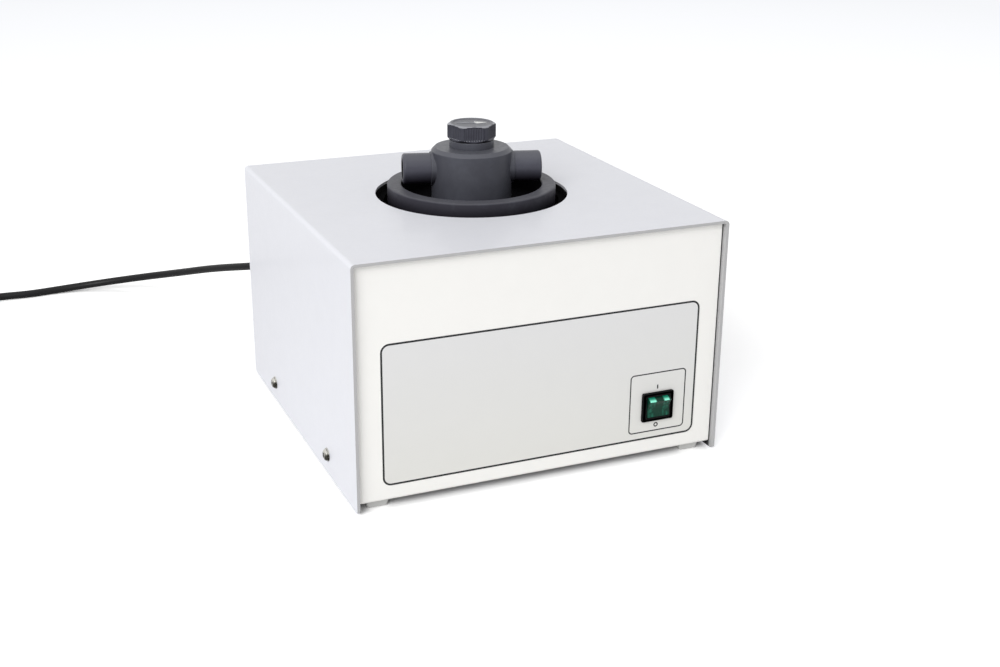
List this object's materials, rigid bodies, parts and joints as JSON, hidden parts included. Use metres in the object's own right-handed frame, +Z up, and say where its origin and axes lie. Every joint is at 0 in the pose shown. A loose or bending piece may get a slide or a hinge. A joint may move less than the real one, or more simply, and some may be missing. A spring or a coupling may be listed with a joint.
{
  "type": "anesthesia gas aspirator",
  "caption": "Bench gas aspirator: folded sheet case with rocker switch, centrifugal fan, and a round charcoal canister with two side ports and a selector knob.",
  "frame": {"origin": "on the bench, under the middle of the case", "axes": "+Z up, front panel faces -Y, +X to the right seen from the front"},
  "size_m": [0.5487, 0.5349, 0.2196],
  "materials": {
    "case_paint": "light grey baked powder paint, fine texture",
    "panel_paint": "off-white baked paint, satin",
    "label_film": "pale grey printed film, satin",
    "plated_steel": "zinc plated steel",
    "foot_rubber": "light grey rubber",
    "switch_black": "black moulded nylon",
    "rocker_green": "dark green translucent polycarbonate",
    "contact_brass": "tinned brass",
    "head_grey": "dark blue-grey moulded plastic, satin",
    "black_rubber": "black rubber",
    "felt_white": "white filter felt",
    "charcoal": "granular activated charcoal",
    "mark_white": "white printed mark",
    "well_black": "black moulded plastic",
    "fan_plastic": "black glass-filled nylon",
    "motor_alloy": "die-cast aluminium",
    "motor_steel": "laminated electrical steel",
    "cord_black": "black PVC sheath",
    "block_white": "natural nylon",
    "capacitor_can": "drawn aluminium can"
  },
  "bodies": {
    "housing": {"cover": "case_paint", "chassis": "panel_paint", "front_label": "label_film", "cover_screws": "plated_steel", "cover_washers": "plated_steel", "cover_nuts": "plated_steel", "feet": "foot_rubber", "foot_screws": "plated_steel", "foot_nuts": "plated_steel", "switch_body": "switch_black", "switch_terminals": "contact_brass", "canister_well": "well_black", "well_gasket": "black_rubber", "well_screws": "plated_steel", "fan_volute": "fan_plastic", "fan_cover": "fan_plastic", "fan_cover_screws": "plated_steel", "motor_bearings": "plated_steel", "motor_stator": "motor_steel", "motor_flange": "motor_alloy", "motor_screws": "plated_steel", "gland_body": "cord_black", "gland_nut": "cord_black", "strain_relief": "cord_black", "terminal_block": "block_white", "earth_stud": "plated_steel", "earth_nuts": "plated_steel", "capacitor": "capacitor_can", "capacitor_clamp": "plated_steel", "clamp_screws": "plated_steel", "supply_lead": "cord_black", "switch_loom": "cord_black", "mains_cord": "cord_black", "mains_cord_coil": "cord_black", "plug_body": "cord_black", "plug_pins": "contact_brass"},
    "rocker": {"rocker": "rocker_green", "rocker_axle": "plated_steel"},
    "seal": {"seal_ring": "black_rubber"},
    "canister": {"canister_shell": "head_grey", "canister_head": "head_grey", "valve_body": "head_grey", "left_port": "head_grey", "right_port": "head_grey", "head_seal": "black_rubber", "lower_grid": "well_black", "lower_felt": "felt_white", "charcoal_bed": "charcoal", "upper_felt": "felt_white", "upper_grid": "well_black", "valve_retainer": "well_black", "spindle_seal": "black_rubber", "knob_collar": "head_grey"},
    "selector": {"valve_plug": "head_grey", "selector_knob": "head_grey", "pointer_mark": "mark_white"},
    "wheel": {"impeller": "fan_plastic", "fan_rotor": "motor_steel", "motor_shaft": "plated_steel"}
  },
  "joints": [
    {"name": "rocker_tilt", "type": "hinge", "parent": "housing", "child": "rocker", "pos_m": [0.0859, -0.1289, 0.0408], "axis": [-1, 0, 0], "range_deg": [0, 22]},
    {"name": "canister_turn", "type": "hinge", "parent": "housing", "child": "seal", "pos_m": [0, 0, 0.06], "axis": [0, 0, 1], "continuous": true},
    {"name": "canister_lift", "type": "slide", "parent": "seal", "child": "canister", "axis": [0, 0, 1], "range_m": [0, 0.13]},
    {"name": "selector_turn", "type": "hinge", "parent": "canister", "child": "selector", "pos_m": [0, 0, 0.2], "axis": [0, 0, 1], "range_deg": [0, 180]},
    {"name": "impeller_spin", "type": "hinge", "parent": "housing", "child": "wheel", "pos_m": [0, 0, 0.03], "axis": [0, 0, 1], "continuous": true}
  ]
}
